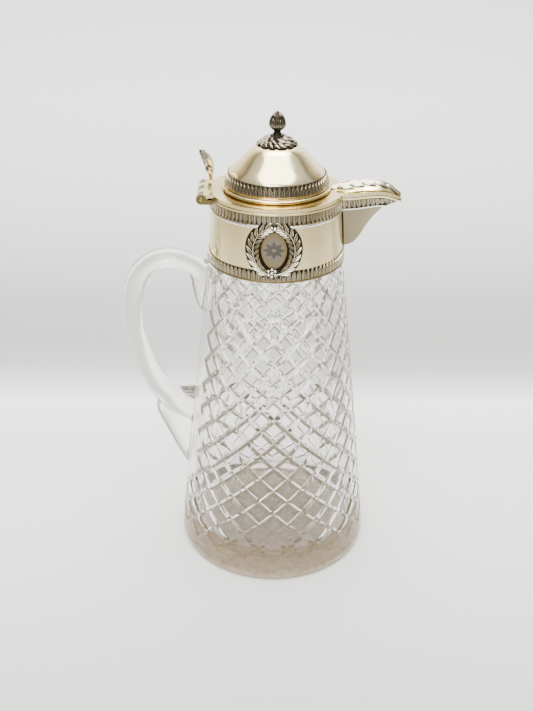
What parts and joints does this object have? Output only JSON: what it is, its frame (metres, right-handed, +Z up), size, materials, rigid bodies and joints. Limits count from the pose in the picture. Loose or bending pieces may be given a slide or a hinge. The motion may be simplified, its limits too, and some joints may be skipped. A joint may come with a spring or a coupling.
{
  "type": "claret jug",
  "caption": "Tapered mitre-cut glass jug with an applied glass handle and a silver-gilt neck mount: beak spout, hinged domed lid, bud finial, thumbpiece.",
  "frame": {"origin": "on the jug's axis, in the plane that it stands on", "axes": "+Z up along the jug's axis, +X towards the spout, -X towards the handle and the hinge, -Y towards the wreath"},
  "size_m": [0.167, 0.1229, 0.2852],
  "materials": {
    "cut_glass": "clear cut glass, polished",
    "silver_gilt": "worn silver-gilt, soft polish",
    "chased_silver_gilt": "chased silver-gilt with dark oxidised recesses",
    "pin_metal": "drawn wire, dull",
    "plaster": "plaster of Paris, matt"
  },
  "bodies": {
    "jug": {"glass_body": "cut_glass", "glass_handle": "cut_glass", "plaster_bed": "plaster", "neck_collar": "silver_gilt", "collar_rim": "silver_gilt", "upper_wire": "silver_gilt", "foot_wire": "silver_gilt", "upper_leaf_band": "chased_silver_gilt", "lower_leaf_band": "chased_silver_gilt", "laurel_wreath": "chased_silver_gilt", "wreath_flower": "chased_silver_gilt", "spout_body": "silver_gilt", "spout_rim": "silver_gilt", "spout_leaf_bands": "chased_silver_gilt", "spout_wires": "silver_gilt", "hinge_bracket": "silver_gilt", "hinge_pin": "pin_metal"},
    "lid": {"lid_plate": "silver_gilt", "lid_bezel": "silver_gilt", "dome_foot": "silver_gilt", "lid_dome": "silver_gilt", "dome_leaf_band": "chased_silver_gilt", "cover_leaf": "chased_silver_gilt", "finial_rosette": "chased_silver_gilt", "finial": "chased_silver_gilt", "finial_stud": "pin_metal", "finial_nut": "pin_metal", "thumbpiece": "chased_silver_gilt"}
  },
  "joints": [
    {"name": "lid_hinge", "type": "hinge", "parent": "jug", "child": "lid", "pos_m": [-0.0428, 0, 0.2379], "axis": [0, -1, 0], "range_deg": [0, 95]}
  ]
}
